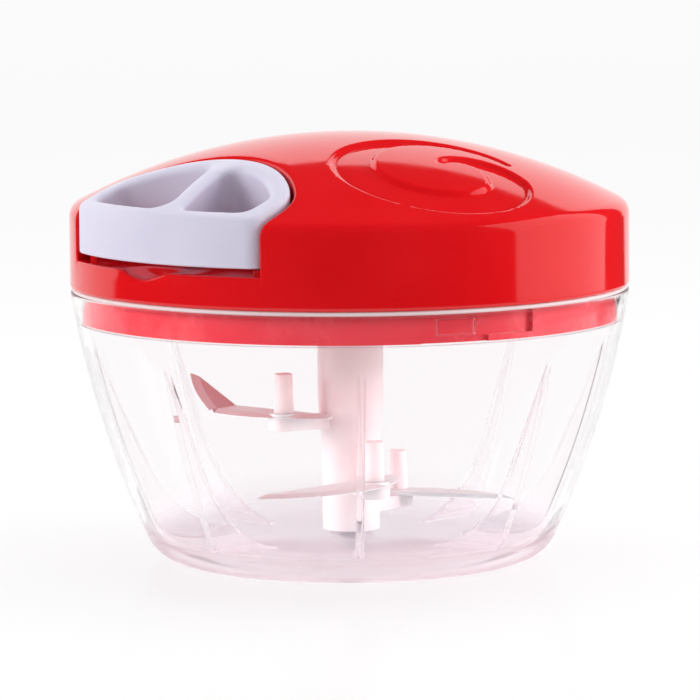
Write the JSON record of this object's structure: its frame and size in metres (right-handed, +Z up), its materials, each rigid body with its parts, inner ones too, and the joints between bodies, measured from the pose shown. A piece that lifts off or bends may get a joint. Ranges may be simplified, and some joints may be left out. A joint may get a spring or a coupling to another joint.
{
  "type": "manual pull cord food chopper",
  "caption": "Round hand food chopper: clear finned bowl, curved steel blades on an upright hub, and a glossy domed lid whose two finger handle pulls a cord off a sprung reel.",
  "frame": {"origin": "on the table, under the middle of the bowl's foot ring", "axes": "+Z up along the blades' axis, -Y along the pull of the handle, +X to the right of the handle seen from outside"},
  "size_m": [0.13, 0.13, 0.0991],
  "materials": {
    "clear_plastic": "clear, polished",
    "red_plastic": "glossy red",
    "handle_plastic": "satin pale lavender",
    "hub_plastic": "translucent white, satin",
    "white_plastic": "moulded white",
    "blade_steel": "ground stainless steel",
    "steel": "plain steel",
    "eyelet_metal": "plated",
    "seal_rubber": "translucent white silicone",
    "cord": "braided"
  },
  "bodies": {
    "bowl": {"bowl": "clear_plastic", "pivot_pin": "steel"},
    "blades": {"blade_hub": "hub_plastic", "upper_blade": "blade_steel", "front_blade": "blade_steel", "lower_blade": "blade_steel", "blade_pegs": "hub_plastic"},
    "seal": {"lid_seal": "seal_rubber"},
    "lid": {"lid_cover": "red_plastic", "lid_base": "red_plastic", "lid_screws": "steel", "cord_eyelet": "eyelet_metal", "shaft_bush": "white_plastic", "spring_housing": "white_plastic", "housing_screws": "steel", "spring_plate": "white_plastic", "rewind_spring": "steel", "reel_axle": "steel", "cord_run": "cord"},
    "reel": {"cord_reel": "white_plastic", "reel_flange": "white_plastic", "drive_shaft": "white_plastic", "shaft_screws": "steel", "thrust_washer": "steel", "cord_winding": "cord"},
    "handle": {"pull_handle": "handle_plastic", "cord_end": "cord"}
  },
  "joints": [
    {"name": "lid_lift", "type": "slide", "parent": "bowl", "child": "seal", "axis": [0, 0, 1], "range_m": [0, 0.06]},
    {"name": "lid_turn", "type": "hinge", "parent": "seal", "child": "lid", "pos_m": [0, 0, 0.064], "axis": [0, 0, 1], "range_deg": [-14, 0]},
    {"name": "handle_pull", "type": "slide", "parent": "lid", "child": "handle", "axis": [0, -1, 0], "range_m": [0, 0.36], "stiffness_N_per_m": 20, "springref_m": -0.1, "deforming": ["cord_winding", "rewind_spring"]},
    {"name": "reel_spin", "type": "hinge", "parent": "lid", "child": "reel", "pos_m": [0, 0, 0.072], "axis": [0, 0, 1], "range_deg": [0, 1186], "deforming": ["cord_winding", "rewind_spring"]},
    {"name": "blade_spin", "type": "hinge", "parent": "bowl", "child": "blades", "pos_m": [0, 0, 0.03], "axis": [0, 0, 1], "range_deg": [0, 1186]}
  ],
  "couplings": [
    {"joint": "reel_spin", "follows": "handle_pull", "rad_per_m": 57.471},
    {"joint": "blade_spin", "follows": "handle_pull", "rad_per_m": 57.471}
  ]
}
